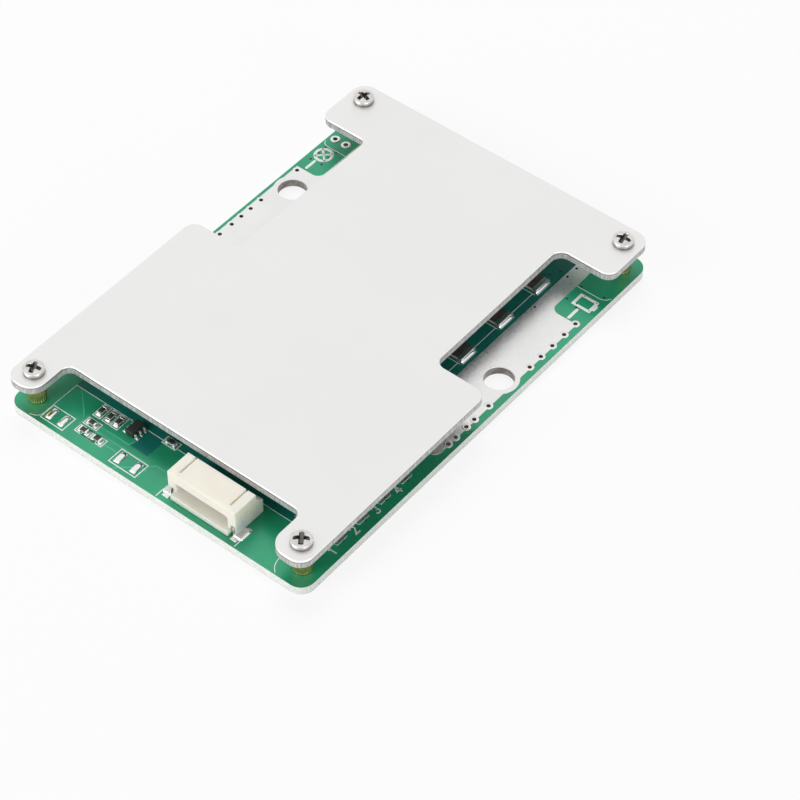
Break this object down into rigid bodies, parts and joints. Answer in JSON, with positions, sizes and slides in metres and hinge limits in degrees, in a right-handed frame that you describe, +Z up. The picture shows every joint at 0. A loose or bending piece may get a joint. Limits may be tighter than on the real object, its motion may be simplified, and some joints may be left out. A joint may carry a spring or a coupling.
{
  "type": "battery management board",
  "caption": "Battery management board: circuit board with lug holes, lead socket and power transistors under a flat aluminium heatsink plate.",
  "frame": {"origin": "centre of the board's underside", "axes": "+X to the board's right, +Y to the back, away from the lead socket, +Z up through the heatsink plate"},
  "size_m": [0.06, 0.0866, 0.0088],
  "materials": {
    "board": "green solder mask on a pale glass-epoxy core",
    "tinned_copper": "bright tinned copper",
    "solder": "bright solder",
    "plate": "fine matt anodised",
    "screws": "nickel plated",
    "standoffs": "knurled",
    "thermal_pad": "matt silicone",
    "moulded_black": "moulded epoxy",
    "lead_metal": "tinned",
    "resistor_black": "coated ceramic",
    "capacitor_tan": "bare ceramic",
    "end_caps": "bright tin",
    "socket": "cream nylon"
  },
  "bodies": {
    "root": {"circuit_board": "board", "load_plane": "tinned_copper", "battery_plane": "tinned_copper", "plated_rings": "tinned_copper", "tap_pads": "tinned_copper", "component_pads": "tinned_copper", "power_pads": "tinned_copper", "solder_bumps": "solder", "heatsink_plate": "plate", "plate_screws": "screws", "standoffs": "standoffs", "thermal_pads": "thermal_pad", "power_transistor_bodies": "moulded_black", "power_transistor_tabs": "lead_metal", "power_transistor_leads": "lead_metal", "shunt_bodies": "resistor_black", "shunt_end_caps": "end_caps", "socket_housing": "socket", "socket_pins": "lead_metal", "socket_tabs": "lead_metal", "small_transistor_bodies": "moulded_black", "small_transistor_leads": "lead_metal", "chip_resistor_bodies": "resistor_black", "chip_resistor_ends": "end_caps", "chip_capacitor_bodies": "capacitor_tan", "chip_capacitor_ends": "end_caps", "balance_resistor_bodies": "resistor_black", "balance_resistor_ends": "end_caps", "protection_chip_body": "moulded_black", "protection_chip_leads": "lead_metal"}
  },
  "joints": []
}
